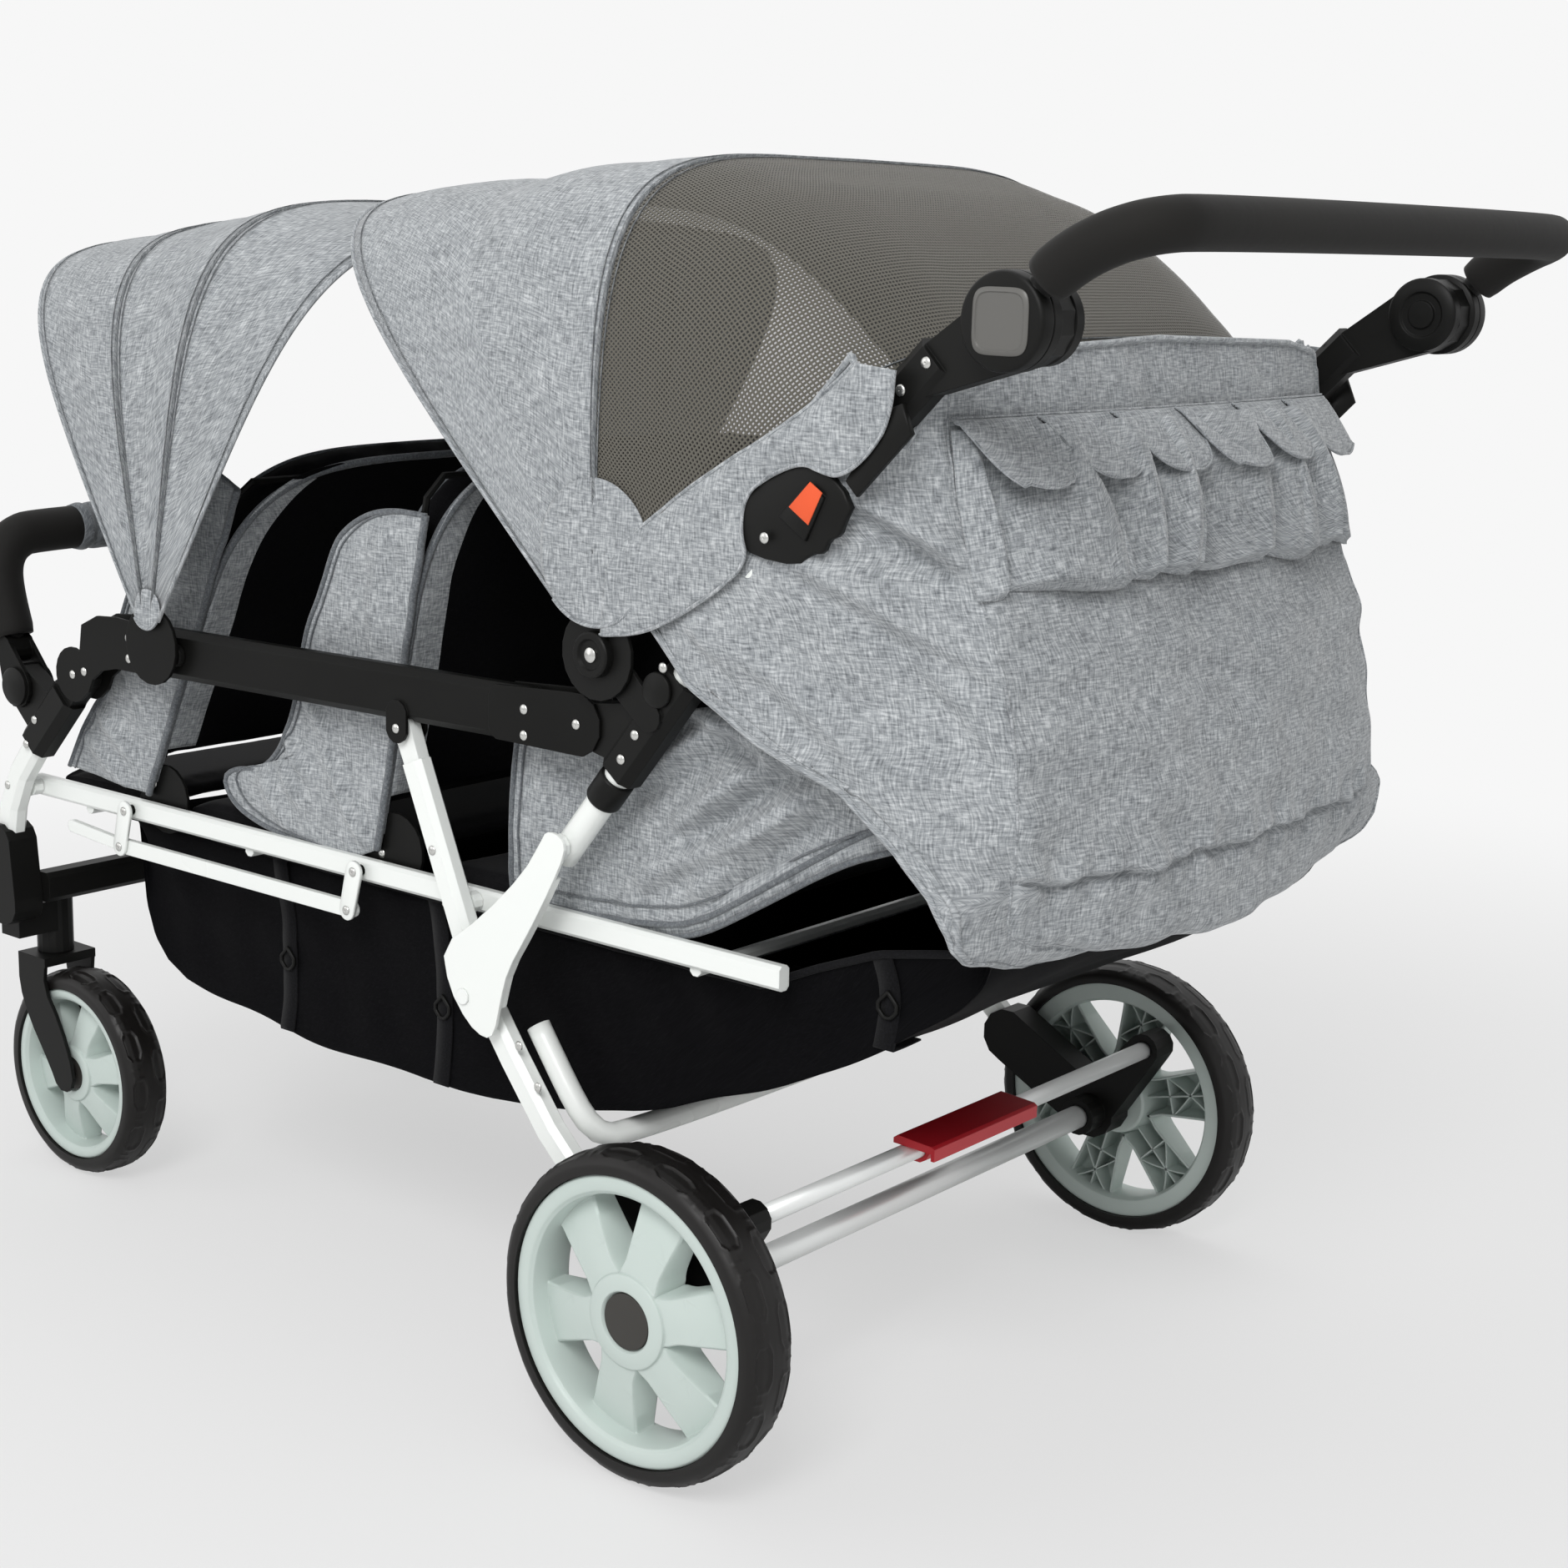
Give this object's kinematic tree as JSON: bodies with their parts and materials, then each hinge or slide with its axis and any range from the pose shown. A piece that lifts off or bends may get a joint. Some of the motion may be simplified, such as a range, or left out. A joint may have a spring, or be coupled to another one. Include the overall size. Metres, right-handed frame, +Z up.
{
  "type": "folding group stroller",
  "caption": "Long folding stroller with benches in rows, two fabric hoods, a tilting push handle, a front bar, swivel front wheels and large rear wheels.",
  "frame": {"origin": "on the floor, midway between the sides and midway between the foremost and rearmost points", "axes": "+Z up, -Y towards the front wheels, +Y towards the push handle, +X the stroller's own left side"},
  "size_m": [0.75, 1.369, 1.012],
  "materials": {
    "white_paint": "gloss",
    "black_paint": "satin",
    "black_plastic": "satin",
    "bare_tube": "satin",
    "red_plastic": "satin",
    "foam": "matt",
    "tyre_foam": "matt",
    "rim_plastic": "satin",
    "melange_cloth": "woven",
    "black_cloth": "woven",
    "mesh_cloth": "mesh"
  },
  "bodies": {
    "side_frame": {"rail_left": "black_paint", "rail_right": "black_paint", "front_hood_rear": "melange_cloth"},
    "push_frame": {"push_tube_left": "white_paint", "push_tube_right": "white_paint", "hinge_block_left": "black_plastic", "hinge_block_right": "black_plastic", "handle_bracket_left": "black_paint", "handle_bracket_right": "black_paint", "seat_back_3": "black_cloth", "rear_cover": "melange_cloth", "rear_hood_mesh": "mesh_cloth"},
    "handle": {"handle_tube": "black_paint", "handle_grip": "foam"},
    "rear_frame": {"rear_leg_left": "white_paint", "rear_leg_right": "white_paint", "rear_cross_tube": "white_paint", "axle_tube": "bare_tube", "wheel_bracket_left": "black_plastic", "wheel_bracket_right": "black_plastic"},
    "link_left": {"link_left": "white_paint"},
    "link_right": {"link_right": "white_paint"},
    "rear_wheel_left": {"rear_rim_left": "rim_plastic", "rear_tyre_left": "tyre_foam"},
    "rear_wheel_right": {"rear_rim_right": "rim_plastic", "rear_tyre_right": "tyre_foam"},
    "brake": {"brake_bar": "bare_tube", "brake_pedal": "red_plastic"},
    "front_frame": {"front_leg_left": "white_paint", "front_leg_right": "white_paint", "front_cross_brace": "black_paint", "caster_housing_left": "black_plastic", "caster_housing_right": "black_plastic", "bumper_bracket_left": "black_plastic", "bumper_bracket_right": "black_plastic"},
    "caster_left": {"caster_fork_left": "black_plastic"},
    "caster_right": {"caster_fork_right": "black_plastic"},
    "front_wheel_left": {"front_rim_left": "rim_plastic", "front_tyre_left": "tyre_foam"},
    "front_wheel_right": {"front_rim_right": "rim_plastic", "front_tyre_right": "tyre_foam"},
    "bumper": {"bumper_tube": "black_paint", "bumper_foam": "foam"},
    "seat_frame": {"seat_frame": "white_paint", "seat_base_1": "black_cloth", "seat_base_2": "black_cloth", "seat_base_3": "black_cloth", "basket": "black_cloth", "row_3_liner": "melange_cloth"},
    "row_1_back": {"row_1_frame": "white_paint", "row_1_pad": "black_cloth", "row_1_liner": "melange_cloth"},
    "row_2_back": {"row_2_frame": "white_paint", "row_2_pad": "black_cloth", "row_2_liner": "melange_cloth"},
    "recline_bar_left": {"recline_bar_left": "white_paint"},
    "recline_bar_right": {"recline_bar_right": "white_paint"},
    "front_hood_middle": {"front_hood_middle": "melange_cloth"},
    "front_hood_front": {"front_hood_front": "melange_cloth"},
    "rear_hood_panel": {"rear_hood_panel": "melange_cloth"}
  },
  "joints": [
    {"name": "frame_fold", "type": "hinge", "parent": "side_frame", "child": "push_frame", "pos_m": [0, 0.1615, 0.576], "axis": [1, 0, 0], "range_deg": [0, 130], "deforming": ["front_hood_rear", "rear_hood_mesh", "rear_cover", "basket", "row_1_liner", "row_2_liner", "row_3_liner"]},
    {"name": "handle_turn", "type": "hinge", "parent": "push_frame", "child": "handle", "pos_m": [0, 0.5565, 0.9], "axis": [1, 0, 0], "range_deg": [-60, 45]},
    {"name": "rear_leg_fold", "type": "hinge", "parent": "side_frame", "child": "rear_frame", "pos_m": [0, -0.0445, 0.543], "axis": [1, 0, 0], "range_deg": [0, 48.96]},
    {"name": "link_turn_left", "type": "hinge", "parent": "rear_frame", "child": "link_left", "pos_m": [0.321, 0.0465, 0.334], "axis": [1, 0, 0], "range_deg": [-39.6, 0]},
    {"name": "link_turn_right", "type": "hinge", "parent": "rear_frame", "child": "link_right", "pos_m": [-0.321, 0.0465, 0.334], "axis": [1, 0, 0], "range_deg": [-39.6, 0]},
    {"name": "front_leg_fold", "type": "hinge", "parent": "side_frame", "child": "front_frame", "pos_m": [0, -0.4915, 0.53], "axis": [1, 0, 0], "range_deg": [0, 36.87]},
    {"name": "seat_frame_fold", "type": "hinge", "parent": "rear_frame", "child": "seat_frame", "pos_m": [0, 0.0185, 0.402], "axis": [1, 0, 0], "range_deg": [-36.74, 0]},
    {"name": "row_1_fold", "type": "hinge", "parent": "seat_frame", "child": "row_1_back", "pos_m": [0, -0.4485, 0.402], "axis": [1, 0, 0], "range_deg": [-58.71, 0]},
    {"name": "row_2_fold", "type": "hinge", "parent": "seat_frame", "child": "row_2_back", "pos_m": [0, -0.1245, 0.402], "axis": [1, 0, 0], "range_deg": [-58.71, 0]},
    {"name": "recline_bar_turn_left", "type": "hinge", "parent": "row_1_back", "child": "recline_bar_left", "pos_m": [0.2845, -0.4575, 0.366], "axis": [1, 0, 0], "range_deg": [0, 58.71]},
    {"name": "recline_bar_turn_right", "type": "hinge", "parent": "row_1_back", "child": "recline_bar_right", "pos_m": [-0.2845, -0.4575, 0.366], "axis": [1, 0, 0], "range_deg": [0, 58.71]},
    {"name": "rear_wheel_spin_left", "type": "hinge", "parent": "rear_frame", "child": "rear_wheel_left", "pos_m": [0.35, 0.2765, 0.134], "axis": [1, 0, 0], "continuous": true},
    {"name": "rear_wheel_spin_right", "type": "hinge", "parent": "rear_frame", "child": "rear_wheel_right", "pos_m": [-0.35, 0.2765, 0.134], "axis": [1, 0, 0], "continuous": true},
    {"name": "brake_press", "type": "hinge", "parent": "rear_frame", "child": "brake", "pos_m": [0, 0.3315, 0.208], "axis": [1, 0, 0], "range_deg": [-20, 0]},
    {"name": "caster_swivel_left", "type": "hinge", "parent": "front_frame", "child": "caster_left", "pos_m": [0.2475, -0.6285, 0.23], "axis": [0, 0, 1], "continuous": true},
    {"name": "front_wheel_spin_left", "type": "hinge", "parent": "caster_left", "child": "front_wheel_left", "pos_m": [0.2475, -0.5795, 0.105], "axis": [1, 0, 0], "continuous": true},
    {"name": "caster_swivel_right", "type": "hinge", "parent": "front_frame", "child": "caster_right", "pos_m": [-0.2475, -0.6285, 0.23], "axis": [0, 0, 1], "continuous": true},
    {"name": "front_wheel_spin_right", "type": "hinge", "parent": "caster_right", "child": "front_wheel_right", "pos_m": [-0.2475, -0.5795, 0.105], "axis": [1, 0, 0], "continuous": true},
    {"name": "bumper_swing", "type": "hinge", "parent": "front_frame", "child": "bumper", "pos_m": [0, -0.5815, 0.507], "axis": [1, 0, 0], "range_deg": [0, 90]},
    {"name": "front_hood_fold", "type": "hinge", "parent": "side_frame", "child": "front_hood_middle", "pos_m": [0, -0.3585, 0.575], "axis": [1, 0, 0], "range_deg": [-21, 0], "deforming": ["front_hood_middle"]},
    {"name": "front_hood_brim_fold", "type": "hinge", "parent": "front_hood_middle", "child": "front_hood_front", "pos_m": [0, -0.3585, 0.575], "axis": [1, 0, 0], "range_deg": [-22, 0], "deforming": ["front_hood_front"]},
    {"name": "rear_hood_fold", "type": "hinge", "parent": "push_frame", "child": "rear_hood_panel", "pos_m": [0, 0.1915, 0.636], "axis": [1, 0, 0], "range_deg": [-44, 0], "deforming": ["rear_hood_panel"]}
  ],
  "couplings": [
    {"joint": "rear_leg_fold", "follows": "frame_fold", "ratio": 0.372},
    {"joint": "link_turn_left", "follows": "frame_fold", "ratio": -0.3},
    {"joint": "link_turn_right", "follows": "frame_fold", "ratio": -0.3},
    {"joint": "front_leg_fold", "follows": "frame_fold", "ratio": 0.279},
    {"joint": "seat_frame_fold", "follows": "frame_fold", "ratio": -0.278},
    {"joint": "row_1_fold", "follows": "frame_fold", "ratio": -0.447},
    {"joint": "row_2_fold", "follows": "frame_fold", "ratio": -0.447},
    {"joint": "recline_bar_turn_left", "follows": "frame_fold", "ratio": 0.447},
    {"joint": "recline_bar_turn_right", "follows": "frame_fold", "ratio": 0.447},
    {"joint": "front_hood_brim_fold", "follows": "front_hood_fold", "ratio": 1.04}
  ]
}
